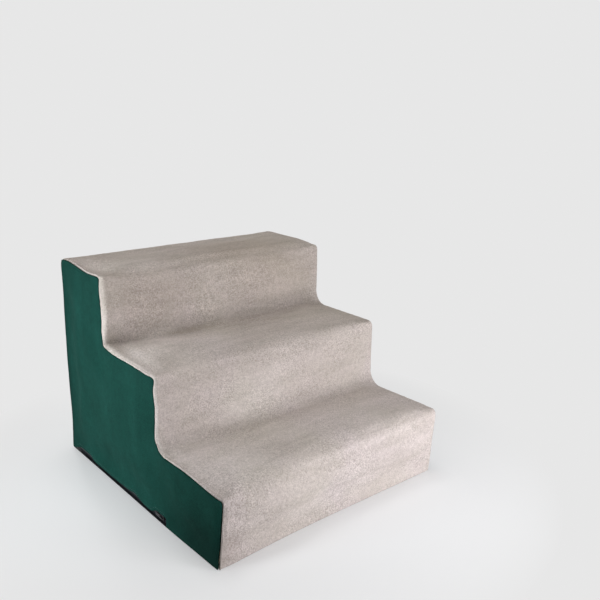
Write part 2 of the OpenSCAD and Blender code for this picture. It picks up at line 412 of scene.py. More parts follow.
def cloth_swell(bm):
    """Inflates a remeshed copy of the form as cloth, and returns how far each of its points moved."""
    swell_voxel = 7 * MM
    swell_frames = 16
    proxy = new_object("swell_proxy", bm.copy())
    remesh = proxy.modifiers.new("remesh", "REMESH")
    remesh.mode = "VOXEL"
    remesh.voxel_size = swell_voxel
    apply_modifiers(proxy)
    before = [v.co.copy() for v in proxy.data.vertices]
    cloth = proxy.modifiers.new("cloth", "CLOTH")
    for name, value in (
        ("quality", 5), ("mass", 0.3), ("tension_stiffness", 15), ("compression_stiffness", 15),
        ("shear_stiffness", 5), ("bending_stiffness", 1.5), ("use_pressure", True),
        ("uniform_pressure_force", 4.0),
    ):
        setattr(cloth.settings, name, value)
    cloth.settings.effector_weights.gravity = 0.0
    cloth.collision_settings.use_collision = False
    cloth.point_cache.frame_start = 1
    cloth.point_cache.frame_end = swell_frames
    scene = bpy.context.scene
    for step in range(1, swell_frames + 1):
        scene.frame_set(step)
    graph = bpy.context.evaluated_depsgraph_get()
    swollen = proxy.evaluated_get(graph).to_mesh()
    moves = [v.co - b for v, b in zip(swollen.vertices, before)]
    proxy.evaluated_get(graph).to_mesh_clear()
    scene.frame_set(1)
    bpy.data.objects.remove(proxy)
    return before, moves


def follow_swell(bm, before, moves, places):
    """Moves the form's points with the swollen copy's, held back at the seams and at the floor."""
    share = 0.9
    cap = 3.5 * MM
    neighbours, blur = 12, 2 * MM
    floor_reach, seam_reach, back_top_reach = 30 * MM, 55 * MM, 60 * MM
    side_hold = 0.6
    tree = tree_of(before)
    for v in bm.verts:
        near = tree.find_n(v.co, neighbours)
        weights = [1 / (distance + blur) ** 2 for _, _, distance in near]
        move = sum((moves[i] * w for (_, i, _), w in zip(near, weights)), Vector()) / sum(weights)
        free = ease(v.co.z / floor_reach)
        if v in places:
            free *= ease(math.hypot(*places[v][:2]) / seam_reach)
        free *= ease(math.hypot(back_y - v.co.y, top_z - v.co.z) / back_top_reach)
        free *= 1 - side_hold * abs(v.normal.x)
        move *= share * free
        if move.length > cap:
            move *= cap / move.length
        v.co += move


def wander(v, p, out):
    """Lets every face wander in slow and in short waves, less and less towards the floor."""
    up = ease((p.z - 8 * MM) / (40 * MM))
    wave = noise.noise(p * 9) * 1.3 + noise.noise(p * 23 + Vector((5, 1, 7))) * 0.6
    v.co += out * wave * up * MM


def slump_noses(v, p):
    """Lets the noses give, away from the stitched ends."""
    middle = ease((width / 2 - abs(p.x)) / (60 * MM))
    for k, (nose_y, tread_z) in enumerate(noses):
        on_top = bell(p.z, tread_z, 30 * MM)
        slump = 2.4 + 1.2 * noise.noise(Vector((p.x * 8, k * 3.1, 0)))
        v.co.z -= slump * MM * bell(p.y, nose_y, 42 * MM) * on_top * middle


def dip_left_end(v, p):
    """Dips the top tread and the lowest nose by the left seam."""
    top_left = bell(p.x, left_x, 75 * MM) * bell(p.z, top_z, 60 * MM)
    v.co.z -= 5.2 * MM * top_left * bell(p.y, front_y + 2.38 * run, 0.55 * run)
    first_left = bell(p.x, left_x, 90 * MM) * bell(p.z, rise, 60 * MM)
    v.co.z -= 10.5 * MM * first_left * bell(p.y, front_y, 95 * MM)


def lean_left_front(v, p):
    """Leans the lowest riser's left end in and forward, and fills the riser out beside it."""
    left = max(0.0, -p.x / (width / 2))
    raised = ease(p.z / rise)
    v.co.x += (2.0 + 4.5 * raised) * MM * left ** 2 * bell(p.y, front_y, 118 * MM)
    v.co.y -= (8.5 - 5.0 * raised) * MM * left ** 2 * bell(p.y, front_y, 60 * MM)
    on_riser = bell(p.y, front_y, 26 * MM)
    v.co.y += 2.4 * MM * bell(p.x, left_x, 28 * MM) * on_riser * (1 - 0.5 * raised)
    full = on_riser * ease((p.z - 6 * MM) / (40 * MM))
    v.co.y -= 2.8 * MM * bell(p.x, 92 * MM + left_x, 92 * MM) * full


def hollow_left_risers(v, p):
    """Hollows the left end of the two upper risers."""
    for k, inward, forward in ((1, 3.0, 2.6), (2, 2.4, 2.4)):
        hollow = bell(p.x, left_x, 42 * MM) * bell(p.y, noses[k][0], 34 * MM)
        hollow *= bell(p.z, (k + 0.5) * rise, 0.62 * rise)
        v.co.x += inward * MM * hollow
        v.co.y -= forward * MM * hollow


def fill_second_tread(v, p):
    """Fills out the second tread near its left end, and the inner corner behind it."""
    on_second = bell(p.z, noses[1][1], 26 * MM) * bell(p.y, front_y + 1.5 * run, 0.56 * run)
    v.co.z += 4.4 * MM * bell(p.x, 62 * MM + left_x, 64 * MM) * on_second
    v.co.z += 1.8 * MM * bell(p.x, left_x, 40 * MM) * on_second
    from_inner = math.hypot(p.y - corners[1][0], p.z - corners[1][1])
    v.co.z += 5.5 * MM * bell(p.x, left_x, 60 * MM) * bell(from_inner, 0, 45 * MM)


def lean_right_side(v, p):
    """Leans the right side out, most at the foot, and lets the top nose down there."""
    right = ease(p.x / (width / 2))
    v.co.x += (4.0 - 1.0 * p.z / top_z) * right * MM
    drop = 4.0 * MM * bell(p.x, right_x, 60 * MM) * bell(p.z, top_z, 50 * MM)
    v.co.z -= drop * bell(p.y, noses[2][0], 60 * MM)


def pucker_left_side(v, p):
    """Puckers the left velvet just below the middle nose, and creases it low down at the front."""
    if p.x >= left_x + TINY * 100:
        return
    nose_y, nose_z = noses[1]
    near_nose = bell(math.hypot(p.y - nose_y - 5 * MM, p.z - nose_z + 6 * MM), 0, 12 * MM)
    v.co.x += 2.2 * MM * near_nose
    crease = math.sin((p.y * 0.8 + p.z) * 2 * math.pi / (26 * MM))
    low_front = bell(p.y, front_y + 60 * MM, 60 * MM) * bell(p.z, 45 * MM, 45 * MM)
    v.co.x -= 0.5 * MM * crease * low_front


def soften(bm):
    """Softness in listed moves. Each move depends on where the point was before all of them."""
    for v in bm.verts:
        p = v.co.copy()
        wander(v, p, v.normal.copy())
        for shape in (
            slump_noses, dip_left_end, lean_left_front, hollow_left_risers, fill_second_tread,
            lean_right_side, pucker_left_side,
        ):
            shape(v, p)


# Height of the hem over the zip along the left side: (y, height), in mm
LEFT_HEM = (
    (-84.3, 10.1), (-57, 10.1), (-46, 3.4), (-25, 2.4), (-14, 5.0), (2, 7.6), (18, 5.2), (60, 4.6),
    (105, 4.6), (128, 5.6), (143, 10.1), (180, 10.1), (190, 4.6), (200, 1.6), (206, 1.0),
)


def hem_height(p):
    """Height of the velvet's hem: it hangs in scallops over the zip, and clear of the parked pull."""
    on_side = 3 * MM
    if p.x < 0 and abs(p.x) > width / 2 - on_side:
        return along(LEFT_HEM, p.y / MM) * MM
    scallop, sag, corner_sag = 2.4, 2.0, 5.0
    wave = noise.noise(Vector((p.x * 14, p.y * 14, 2.5)))
    corner = math.hypot(width / 2 - abs(p.x), back_y - p.y)
    return hem_z + (wave * scallop - sag - corner_sag * bell(corner, 0, 30 * MM)) * MM


def hang_hem(bm):
    """Lets the hem down in scallops, flares it a little where it hangs low, and spreads that upwards."""
    skin, fade_height = 8 * MM, 45 * MM
    flare, flare_share = 1.5 * MM, 0.3
    for v in bm.verts:
        above = v.co.z - hem_z
        outside = width / 2 - abs(v.co.x) < skin or v.co.y > back_y - skin
        if v.co.y < zip_front - TINY or above < -TINY or not outside:
            continue
        fade = max(0.0, 1 - above / fade_height) ** 2
        drop = hem_z - hem_height(v.co)
        v.co.z -= drop * fade
        flat = Vector((v.normal.x, v.normal.y, 0))
        v.co += flat * min(flare, drop * flare_share) * fade


# ------------ the cover's panels

def panel_of(face, outline):
    """Which panel of the cover a face of the form belongs to."""
    centre = face.calc_center_median()
    if centre.z < TINY:
        return BASE
    from_side, depth, _, t = outline.place(centre)
    behind_foot = centre.z < foot_radius and centre.y > front_y + foot_tuck + side_radius
    at_side = from_side < depth or (behind_foot and from_side < side_radius)
    at_back = t > BACK_TOP + 2 * MM
    if centre.y > zip_front and (at_side or at_back) and centre.z < hem_z:
        return BASE if centre.z < rim_z else OPEN
    if at_side:
        return LEFT if centre.x < 0 else RIGHT
    return BACK if at_back else PLUSH


def cover_form():
    """The whole cover as one soft mesh, with each face's panel in a layer, and the foam's form."""
    near_side = 30 * MM
    bm = stair_form()
    panels = bm.faces.layers.int.new("panel")
    joins = bm.edges.layers.int.new("join")
    outs = bm.verts.layers.float_vector.new("out")
    outline = Outline(bm)
    places = {v: outline.place(v.co) for v in bm.verts if width / 2 - abs(v.co.x) < near_side}
    for face in bm.faces:
        face[panels] = panel_of(face, outline)
    slide_seams(bm, places)
    tighten_ends(bm)
    flatten_foot(bm)
    bm.normal_update()
    follow_swell(bm, *cloth_swell(bm), places)
    soften(bm)
    bm.normal_update()
    filling = bm.copy()

    for edge in bm.edges:
        sides = sorted({f[panels] for f in edge.link_faces})
        if len(sides) == 2 and sides[1] in (LEFT, RIGHT, BACK):
            edge[joins] = SEAM
        if sides[-1] == OPEN and sides[0] != BASE and edge.verts[0].co.z > rim_z:
            edge[joins] = HEM
    bmesh.ops.delete(bm, geom=[f for f in bm.faces if f[panels] == OPEN], context="FACES")
    bm.normal_update()
    hang_hem(bm)
    bm.normal_update()
    draw_seams(bm, panels)
    for v in bm.verts:
        v[outs] = v.normal
    return bm, filling


def draw_seams(bm, panels):
    """Rolls both edges of each seam inward, deepest down the left edge of the lowest riser."""
    roll = 2.2 * MM
    for panel_id in (PLUSH, LEFT, RIGHT, BACK):
        faces = [f for f in bm.faces if f[panels] == panel_id]
        bmesh.ops.inset_region(
            bm, faces=faces, thickness=roll, use_boundary=False, use_even_offset=False,
        )
    bm.normal_update()
    ids = {v: {f[panels] for f in v.link_faces} for v in bm.verts}
    on_seam = {v for v in bm.verts if len(ids[v]) > 1}
    beside = {e.other_vert(v) for v in on_seam for e in v.link_edges} - on_seam
    for v in on_seam | beside:
        if BASE in ids[v]:
            continue
        down_riser = bell(v.co.y, front_y, 14 * MM) * bell(v.co.x, left_x, 14 * MM)
        notch = down_riser * bell(v.co.z, rise - 14 * MM, 12 * MM)
        if v in on_seam:
            v.co -= v.normal * (0.6 + 6.0 * down_riser + 2.0 * notch) * MM
        else:
            v.co -= v.normal * (1.2 * down_riser + 1.2 * notch) * MM


# How far each turned edge goes (inward, up), step by step
SEAM_FOLD = ((3 * MM, None),)
HEM_FOLD = ((2.5 * MM, 0.0), (0.0, 3.0 * MM), (1.5 * MM, 0.3 * MM))


def fold_in(bm, edges, steps):
    """Extrudes open edges in steps of (inward, up), each along the way out kept at its points."""
    outs = bm.verts.layers.float_vector["out"]
    for inward, up in steps:
        made = bmesh.ops.extrude_edge_only(bm, edges=edges)["geom"]
        edges = [g for g in made if isinstance(g, bmesh.types.BMEdge)]
        for v in {v for e in edges for v in e.verts}:
            out = v[outs].copy()
            if up is not None:
                out.z = 0
                v.co.z += up
            v.co -= out.normalized() * inward


def panel(form, panel_id, name, thickness):
    """One panel of the cover, cut along its seams, with its turned edges and its thickness."""
    bm = form.copy()
    panels = bm.faces.layers.int["panel"]
    joins = bm.edges.layers.int["join"]
    others = [f for f in bm.faces if f[panels] != panel_id]
    bmesh.ops.delete(bm, geom=others, context="FACES")
    rim = [e for e in bm.edges if e.is_boundary]
    seams = [e for e in rim if e[joins] == SEAM]
    hems = [e for e in rim if e[joins] == HEM]
    if seams:
        fold_in(bm, seams, SEAM_FOLD)
    if hems:
        fold_in(bm, hems, HEM_FOLD)
    obj = new_object(name, bm)
    shell = obj.modifiers.new("thickness", "SOLIDIFY")
    shell.thickness = thickness
    shell.offset = -1
    smooth = obj.modifiers.new("smooth", "SUBSURF")
    smooth.levels = smooth.render_levels = 1
    apply_modifiers(obj)
    for polygon in obj.data.polygons:
        polygon.use_smooth = True
    for v in obj.data.vertices:
        v.co.z = max(0.0, v.co.z)
    return obj


def nap(obj, height, size):
    """Lifts the pile in small soft lumps."""
    for v, normal in zip(obj.data.vertices, [n.vector.copy() for n in obj.data.vertex_normals]):
        lump = noise.noise(v.co / size) + 0.5 * noise.noise(v.co / size * 2.1)
        v.co += normal * lump * height * ease(v.co.z / (8 * MM))


# ------------ the foam inside

def foam_block(filling, k, name):
    """The foam of step k, drawn in from the cover and cut flat where it is glued to the next."""
    zip_room, zip_over, zip_ahead = 8.4 * MM, 2 * MM, 14 * MM
    over_base = 0.3 * MM
    limit = width / 2 - zip_room
    bm = filling.copy()
    bm.normal_update()
    for v in bm.verts:
        v.co -= v.normal * foam_in
        if v.co.z < tape_top + zip_over and v.co.y > zip_front - zip_ahead:
            v.co.x = max(-limit, min(limit, v.co.x))
            v.co.y = min(back_y - zip_room, v.co.y)
        v.co.z = max(v.co.z, base_lift + base_thick + over_base)
    for height, keep_above in ((k * rise - foam_in, True), ((k + 1) * rise - foam_in, False)):
        if (keep_above and k == 0) or (not keep_above and k == STEPS - 1):
            continue
        bmesh.ops.bisect_plane(
            bm, geom=bm.verts[:] + bm.edges[:] + bm.faces[:], dist=TINY,
            plane_co=(0, 0, height), plane_no=(0, 0, -1 if keep_above else 1), clear_outer=True,
        )
        bmesh.ops.holes_fill(bm, edges=[e for e in bm.edges if e.is_boundary], sides=0)
    bmesh.ops.recalc_face_normals(bm, faces=bm.faces[:])
    if bm.calc_volume(signed=True) < 0:
        bmesh.ops.reverse_faces(bm, faces=bm.faces[:])
    return new_object(name, bm, smooth=False)


# ------------ grip dots and hem stitches

def grip_dots():
    """Rows of small rubber dots printed under the base cloth."""
    pitch = 8 * MM
    clear = 22 * MM
    foot_wide, top_wide = 1.1 * MM, 1.7 * MM
    top = base_lift + 0.05 * MM
    counts = [int((size - 2 * clear) / pitch) + 1 for size in (width, STEPS * run)]
    bm = bmesh.new()
    bmesh.ops.create_cone(
        bm, cap_ends=True, segments=8, radius1=foot_wide, radius2=top_wide, depth=top,
        matrix=Matrix.Translation((-(counts[0] - 1) * pitch / 2, -(counts[1] - 1) * pitch / 2, top / 2)),
    )
    obj = new_object("grip_dots", bm)
    for axis, count in enumerate(counts):
        rows = obj.modifiers.new("rows", "ARRAY")
        rows.count = count
        rows.use_relative_offset = False
        rows.use_constant_offset = True
        rows.constant_offset_displace = [pitch if i == axis else 0.0 for i in range(3)]
    apply_modifiers(obj)
    return obj


def zip_end_tab():
    """The folded scrap of tape sewn behind the zip's open end."""
    inset = 7.8 * MM
    length, height, thickness = 14 * MM, 9 * MM, 0.5 * MM
    curl = 0.35 * MM
    bm = bmesh.new()
    bmesh.ops.create_grid(
        bm, x_segments=6, y_segments=4, size=0.5,
        matrix=Matrix.Translation((inset + left_x, zip_front + 5 * MM, 8 * MM))
        @ Matrix.Rotation(-math.pi / 2, 4, "Y") @ Matrix.Diagonal((height, length, 1, 1)),
    )
    for v in bm.verts:
        v.co.x += curl * math.sin((v.co.y - zip_front) * 2 * math.pi / length)
    obj = new_object("zip_end_tab", bm)
    shell = obj.modifiers.new("thickness", "SOLIDIFY")
    shell.thickness = thickness
    apply_modifiers(obj)
    return obj


def facing(piece, place, away):
    """Of the normals beside a place the one most nearly away, so that a place on an edge has one answer."""
    aside = (-0.05 * MM, 0.05 * MM)
    beside = [place + Vector((x, y, z)) for x in aside for y in aside for z in aside]
    return max((piece.closest_point_on_mesh(p)[2] for p in beside), key=away.dot)


def hem_stitches(velvets):
    """A row of stitches in thread of the velvet's own green, a little above its hem over the zip."""
    above_hem = 5.5 * MM
    pitch, length, thread = 4.2 * MM, 3.1 * MM, 0.7 * MM
    from_end, from_corner = 2 * MM, 8 * MM
    left, right, back = velvets
    places = []
    for y in between(zip_front + from_end, back_y - from_corner, pitch):
        places += [
            (left, Vector((left_x, y, 0)), Vector((-1, 0, 0))),
            (right, Vector((right_x, y, 0)), Vector((1, 0, 0))),
        ]
    for x in between(from_corner + left_x, right_x - from_corner, pitch):
        places.append((back, Vector((x, back_y, 0)), Vector((0, 1, 0))))
    bm = bmesh.new()
    for piece, p, away in places:
        p.z = hem_height(p) + above_hem
        on_cloth = piece.closest_point_on_mesh(p)[1]
        out = facing(piece, on_cloth, away)
        ahead = Vector((0, 0, 1)).cross(out).normalized()
        turn = Matrix((out, ahead.cross(out), ahead)).transposed().to_4x4()
        made = bmesh.ops.create_icosphere(bm, subdivisions=1, radius=thread / 2)["verts"]
        bmesh.ops.scale(bm, verts=made, vec=(1, 1, length / thread))
        bmesh.ops.transform(bm, verts=made, matrix=Matrix.Translation(on_cloth) @ turn)
    return new_object("hem_stitches", bm)


# ------------ materials

class Nodes:
    """Adds and links the nodes of a material, a group or a world."""

    def __init__(self, tree):
        self.tree = tree

    def fill(self, node, values):
        """Links each value that is a socket, and sets each other one on the node's own socket."""
        for key, value in values.items():
            if isinstance(value, bpy.types.NodeSocket):
                self.tree.links.new(value, node.inputs[key])
            else:
                node.inputs[key].default_value = value
        return node

    def add(self, kind, values=None, **settings):
        node = self.tree.nodes.new(kind)
        for key, value in settings.items():
            setattr(node, key, value)
        return self.fill(node, values or {})

    def set(self, shader, **values):
        """Fills the shader's sockets, which are named with underscores here."""
        self.fill(shader, {key.replace("_", " "): value for key, value in values.items()})

    def math(self, operation, *values):
        return self.add("ShaderNodeMath", dict(enumerate(values)), operation=operation).outputs[0]

    def vector(self, operation, *values):
        return self.add("ShaderNodeVectorMath", dict(enumerate(values)), operation=operation).outputs

    def noise(self, place, scale, detail=2.0, distortion=0.0, roughness=0.5):
        values = {"Vector": place, "Scale": scale, "Detail": detail}
        values.update({"Distortion": distortion, "Roughness": roughness})
        return self.add("ShaderNodeTexNoise", values).outputs[0]

    def spread(self, source, low, high, start=0.0, end=1.0, **settings):
        """Stretches a value from low..high to start..end."""
        values = dict(enumerate((source, low, high, start, end)))
        return self.add("ShaderNodeMapRange", values, **settings).outputs[0]

    def bump(self, height, strength, distance):
        values = {"Height": height, "Strength": strength, "Distance": distance}
        return self.add("ShaderNodeBump", values).outputs[0]

    def mix(self, factor, a, b, blend="MIX"):
        """A mix of two colours, each of them a socket or three numbers."""
        a, b = (c if isinstance(c, bpy.types.NodeSocket) else (*c, 1) for c in (a, b))
        values = {0: factor, 6: a, 7: b}
        return self.add("ShaderNodeMix", values, data_type="RGBA", blend_type=blend).outputs[2]

    def times(self, colour, tint):
        return self.mix(1.0, colour, tint, "MULTIPLY")


def grey(tone):
    return tone, tone, tone


def cleared_nodes(owner):
    """The emptied node tree of a material or a world."""
    owner.use_nodes = True
    owner.node_tree.nodes.clear()
    return Nodes(owner.node_tree)


def new_material(name):
    material = bpy.data.materials.new(name)
    nodes = cleared_nodes(material)
    shader = nodes.add("ShaderNodeBsdfPrincipled")
    nodes.add("ShaderNodeOutputMaterial", {"Surface": shader.outputs["BSDF"]})
    place = nodes.add("ShaderNodeTexCoord").outputs["Object"]
    return material, nodes, shader, place


def new_group(name, inputs, outputs):
    """A node group with its inputs (name, kind, default) and its outputs, and its inner nodes."""
    tree = bpy.data.node_groups.new(name, "ShaderNodeTree")
    for label, kind, default in inputs:
        socket = tree.interface.new_socket(label, in_out="INPUT", socket_type=kind)
        socket.default_value = default
    for label in outputs:
        tree.interface.new_socket(label, in_out="OUTPUT", socket_type="NodeSocketFloat")
    nodes = Nodes(tree)
    return tree, nodes, nodes.add("NodeGroupInput").outputs


def pile_group():
    """Pile of a napped cloth: a fine speckle, tufts and slow drifts of the nap."""
    tree, nodes, given = new_group("pile", (
        ("Place", "NodeSocketVector", (0, 0, 0)),
        ("Speckle Scale", "NodeSocketFloat", 420.0),
        ("Tuft Scale", "NodeSocketFloat", 130.0),
        ("Drift Scale", "NodeSocketFloat", 14.0),
    ), ("Speckle", "Tuft", "Drift", "Height"))
    place = given["Place"]
    speckle = nodes.noise(place, given["Speckle Scale"], roughness=0.6)
    tuft = nodes.noise(place, given["Tuft Scale"], detail=3.0, distortion=0.1, roughness=0.55)
    drift = nodes.noise(place, given["Drift Scale"], detail=3.0, distortion=0.6)
    height = nodes.math("ADD", speckle, nodes.math("MULTIPLY", tuft, 1.4))
    made = {"Speckle": speckle, "Tuft": tuft, "Drift": drift, "Height": height}
    nodes.add("NodeGroupOutput", made)
    return tree


def pile_at(nodes, pile, place, speckle, tuft, drift):
    """The pile group's outputs at the given scales."""
    scales = {"Speckle Scale": speckle, "Tuft Scale": tuft, "Drift Scale": drift}
    return nodes.add("ShaderNodeGroup", {"Place": place, **scales}, node_tree=pile).outputs


# Painted light and shade on the plush: spots painted lighter where light falls and darker where shade
# gathers, as in the inner corners: middle and reach along x, y and z, in mm, and tint
PLUSH_PAINTED_LIGHT_AND_SHADE = (
    ((62, 108, 310), (150, 78, 60), (0.87, 0.845, 0.81)),
    ((-130, 100, 310), (52, 50, 20), (1.10, 1.11, 1.14)),
    ((110, 69, 265), (130, 30, 55), (0.91, 0.895, 0.87)),
    ((-130, 69, 272), (120, 30, 60), (0.90, 0.885, 0.87)),
    ((70, 40, 202), (190, 52, 18), (0.75, 0.73, 0.71)),
    ((-110, -3, 207), (114, 80, 24), (1.18, 1.20, 1.23)),
    ((-68, 52, 206), (62, 34, 18), (0.80, 0.785, 0.755)),
    ((-40, -69, 142), (100, 30, 60), (1.11, 1.13, 1.14)),
    ((-135, -165, 103), (85, 75, 22), (1.17, 1.19, 1.20)),
    ((60, -150, 103), (150, 60, 16), (1.10, 1.11, 1.12)),
    ((-178, -206, 24), (34, 30, 34), (0.84, 0.82, 0.82)),
    ((0, -206, 34), (120, 30, 45), (1.07, 1.08, 1.09)),
)
# Painted shade and light on the velvet's left side: darker low at the front and along the rear edge,
# lighter low further back: middle, reach and tint as above
VELVET_PAINTED_SHADE_AND_LIGHT = (
    ((-195, -180, 12), (60, 105, 64), grey(0.58)),
    ((-195, 50, 10), (60, 190, 44), grey(1.18)),
    ((-195, 208, 130), (60, 22, 260), (0.62, 0.64, 0.66)),
)


def paint_light_and_shade(nodes, place, colour, spots):
    """Paints light and shade onto a nap: lightens and darkens it in soft spots."""
    full_within = 0.2
    for middle, reach, tint in spots:
        away = nodes.vector("SUBTRACT", place, [c * MM for c in middle])[0]
        scaled = nodes.vector("DIVIDE", away, [c * MM for c in reach])[0]
        length = nodes.vector("LENGTH", scaled)["Value"]
        share = nodes.spread(length, full_within, 1.0, 1.0, 0.0, interpolation_type="SMOOTHSTEP")
        colour = nodes.times(colour, nodes.mix(share, (1, 1, 1), tint))
    return colour


def plush_material(pile):
    """Greige plush: a speckled pile in clumps, combed along x, with painted light and shade in spots and a
    little painted warmth of shade towards the top.
    """
    material, nodes, shader, place = new_material("greige_plush")
    cloth = pile_at(nodes, pile, place, 560.0, 190.0, 9.0)
    patch = nodes.noise(place, 17.0, distortion=0.3)
    combed_along = nodes.vector("MULTIPLY", place, (0.28, 1.0, 1.0))[0]
    streak = nodes.noise(combed_along, 48.0, detail=3.0, distortion=0.5)
    drift = nodes.spread(cloth["Drift"], 0.36, 0.64)
    speckle = nodes.spread(cloth["Speckle"], 0.28, 0.72)
    tuft = nodes.spread(cloth["Tuft"], 0.28, 0.72)
    ground = nodes.mix(drift, (0.482, 0.430, 0.382), (0.500, 0.439, 0.408))
    calm = nodes.mix(speckle, (0.80, 0.80, 0.79), (1.17, 1.17, 1.18))
    busy = nodes.mix(speckle, (0.62, 0.61, 0.59), (1.29, 1.30, 1.32))
    shade = nodes.mix(nodes.spread(patch, 0.40, 0.62), calm, busy)
    clump = nodes.mix(tuft, (0.90, 0.895, 0.89), (1.085, 1.085, 1.09))
    combed = nodes.mix(nodes.spread(streak, 0.34, 0.66), (0.92, 0.915, 0.905), (1.065, 1.06, 1.07))
    height = nodes.add("ShaderNodeSeparateXYZ", {0: place}).outputs["Z"]
    # Painted light: the plush is tinted a little warmer towards the top step, standing in for the warmer
    # shade there and the cooler light below
    tinted = nodes.mix(nodes.spread(height, rise, top_z), (1, 1, 1), (1.008, 0.998, 0.975))
    colour = ground
    for tint in (shade, clump, combed, tinted):
        colour = nodes.times(colour, tint)
    nodes.set(
        shader, Base_Color=paint_light_and_shade(nodes, place, colour, PLUSH_PAINTED_LIGHT_AND_SHADE),
        Normal=nodes.bump(cloth["Height"], 0.6, 1.0 * MM), Roughness=0.95, Specular_IOR_Level=0.15,
        Sheen_Weight=0.18, Sheen_Roughness=0.55, Sheen_Tint=(0.92, 0.88, 0.84, 1),
    )
    return material


def velvet_material(pile):
    """Dark green velvet: a fine pile, stroked up and down, with painted shade and light in spots on its
    left side.
    """
    material, nodes, shader, place = new_material("green_velvet")
    cloth = pile_at(nodes, pile, place, 760.0, 130.0, 13.0)
    stroked_along = nodes.vector("MULTIPLY", place, (1.0, 1.0, 0.35))[0]
    stroke = nodes.noise(stroked_along, 26.0, detail=3.0, distortion=0.7)
    drift = nodes.spread(cloth["Drift"], 0.34, 0.66)
    colour = nodes.mix(drift, (0.0048, 0.0370, 0.0282), (0.0066, 0.0450, 0.0347))
    for source, low, high, dark, light in (
        (cloth["Speckle"], 0.3, 0.7, 0.78, 1.20),
        (cloth["Tuft"], 0.3, 0.7, 0.91, 1.09),
        (stroke, 0.36, 0.64, 0.93, 1.08),
    ):
        tone = nodes.mix(nodes.spread(source, low, high), grey(dark), grey(light))
        colour = nodes.times(colour, tone)
    nodes.set(
        shader, Base_Color=paint_light_and_shade(nodes, place, colour, VELVET_PAINTED_SHADE_AND_LIGHT),
        Normal=nodes.bump(cloth["Height"], 0.3, 0.4 * MM), Roughness=0.9, Specular_IOR_Level=0.07,
        Sheen_Weight=0.03, Sheen_Roughness=0.4, Sheen_Tint=(0.25, 0.85, 0.70, 1),
    )
    return material


def weave_group():
    """A plain weave: where each thread lies over its neighbour, and how high it stands."""
    tree, nodes, given = new_group("weave", (
        ("Place", "NodeSocketVector", (0, 0, 0)),
        ("Threads", "NodeSocketFloat", 1000.0),
    ), ("Over", "Height"))
    axes = nodes.add("ShaderNodeSeparateXYZ", {0: given["Place"]}).outputs
    turns = nodes.math("MULTIPLY", given["Threads"], math.pi)
    warp = nodes.math("ADD", axes[0], axes[1])
    weft = nodes.math("ADD", nodes.math("SUBTRACT", axes[0], axes[1]), axes[2])
    waves = [nodes.math("SINE", nodes.math("MULTIPLY", way, turns)) for way in (warp, weft)]
    over = nodes.math("MULTIPLY_ADD", nodes.math("MULTIPLY", *waves), 0.5, 0.5)
    slub = nodes.noise(given["Place"], 260.0)
    height = nodes.math("MULTIPLY_ADD", slub, 0.35, over)
    nodes.add("NodeGroupOutput", {"Over": over, "Height": height})
    return tree


def woven_material(name, dark, light, threads, weave, pile):
    """Woven cloth: threads in two tones, faded in slow drifts."""
    material, nodes, shader, place = new_material(name)
    values = {"Place": place, "Threads": threads}
    cloth = nodes.add("ShaderNodeGroup", values, node_tree=weave).outputs
    grain = pile_at(nodes, pile, place, 1500.0, 300.0, 18.0)
    two_tone = nodes.mix(cloth["Over"], dark, light)
    tinted = nodes.mix(nodes.spread(grain["Drift"], 0.35, 0.65), grey(0.82), (1.2, 1.2, 1.22))
    nodes.set(
        shader, Base_Color=nodes.times(two_tone, tinted),
        Normal=nodes.bump(cloth["Height"], 0.5, 0.3 * MM),
        Roughness=nodes.spread(grain["Tuft"], 0.3, 0.7, 0.78, 0.95), Specular_IOR_Level=0.3,
    )
    return material


def foam_material(pile):
    """Cut open-cell foam: small dark pores in cream, a little yellowed in places."""
    material, nodes, shader, place = new_material("cream_foam")
    grain = pile_at(nodes, pile, place, 900.0, 250.0, 12.0)
    cells = nodes.add("ShaderNodeTexVoronoi", {"Vector": place, "Scale": 620.0}).outputs["Distance"]
    wall = nodes.spread(cells, 0.12, 0.62)
    aged = nodes.mix(nodes.spread(grain["Drift"], 0.35, 0.65), (0.80, 0.75, 0.60), (0.84, 0.74, 0.50))
    pores = nodes.mix(wall, (0.66, 0.63, 0.58), grey(1.05))
    height = nodes.math("MULTIPLY_ADD", grain["Tuft"], 0.5, wall)
    nodes.set(
        shader, Base_Color=nodes.times(aged, pores), Normal=nodes.bump(height, 0.7, 0.5 * MM),
        Roughness=0.95, Specular_IOR_Level=0.2,
    )
    return material


def moulded_material(name, smooth, rough, pile):
    """Black plastic or rubber with a fine moulded grain and lint in it."""
    material, nodes, shader, place = new_material(name)
    grain = pile_at(nodes, pile, place, 2400.0, 900.0, 90.0)
    dusty = nodes.spread(grain["Drift"], 0.50, 0.72)
    nodes.set(
        shader, Base_Color=nodes.mix(dusty, (0.018, 0.018, 0.021), (0.052, 0.052, 0.050)),
        Roughness=nodes.spread(grain["Drift"], 0.3, 0.7, smooth, rough),
        Normal=nodes.bump(grain["Height"], 0.15, 0.05 * MM),
    )
    return material


def thread_material(pile):
    """Sewing thread, a little lighter than the velvet, with its twist as fine shading."""
    material, nodes, shader, place = new_material("green_thread")
    grain = pile_at(nodes, pile, place, 2600.0, 900.0, 40.0)
    nodes.set(
        shader, Base_Color=nodes.mix(grain["Speckle"], (0.010, 0.055, 0.043), (0.016, 0.092, 0.073)),
        Normal=nodes.bump(grain["Tuft"], 0.4, 0.1 * MM), Roughness=0.7,
    )
    return material


def painted_metal_material(pile):
    """Dark paint over die-cast metal, rubbed through in small places."""
    material, nodes, shader, place = new_material("dark_zip_metal")
    grain = pile_at(nodes, pile, place, 1600.0, 420.0, 120.0)
    rubbed = nodes.spread(grain["Tuft"], 0.62, 0.70)
    nodes.set(
        shader, Base_Color=nodes.mix(rubbed, (0.020, 0.020, 0.023), (0.20, 0.195, 0.185)),
        Metallic=rubbed, Roughness=nodes.spread(grain["Drift"], 0.3, 0.7, 0.30, 0.50),
        Normal=nodes.bump(grain["Tuft"], 0.12, 0.1 * MM),
    )
    return material


# ------------ build

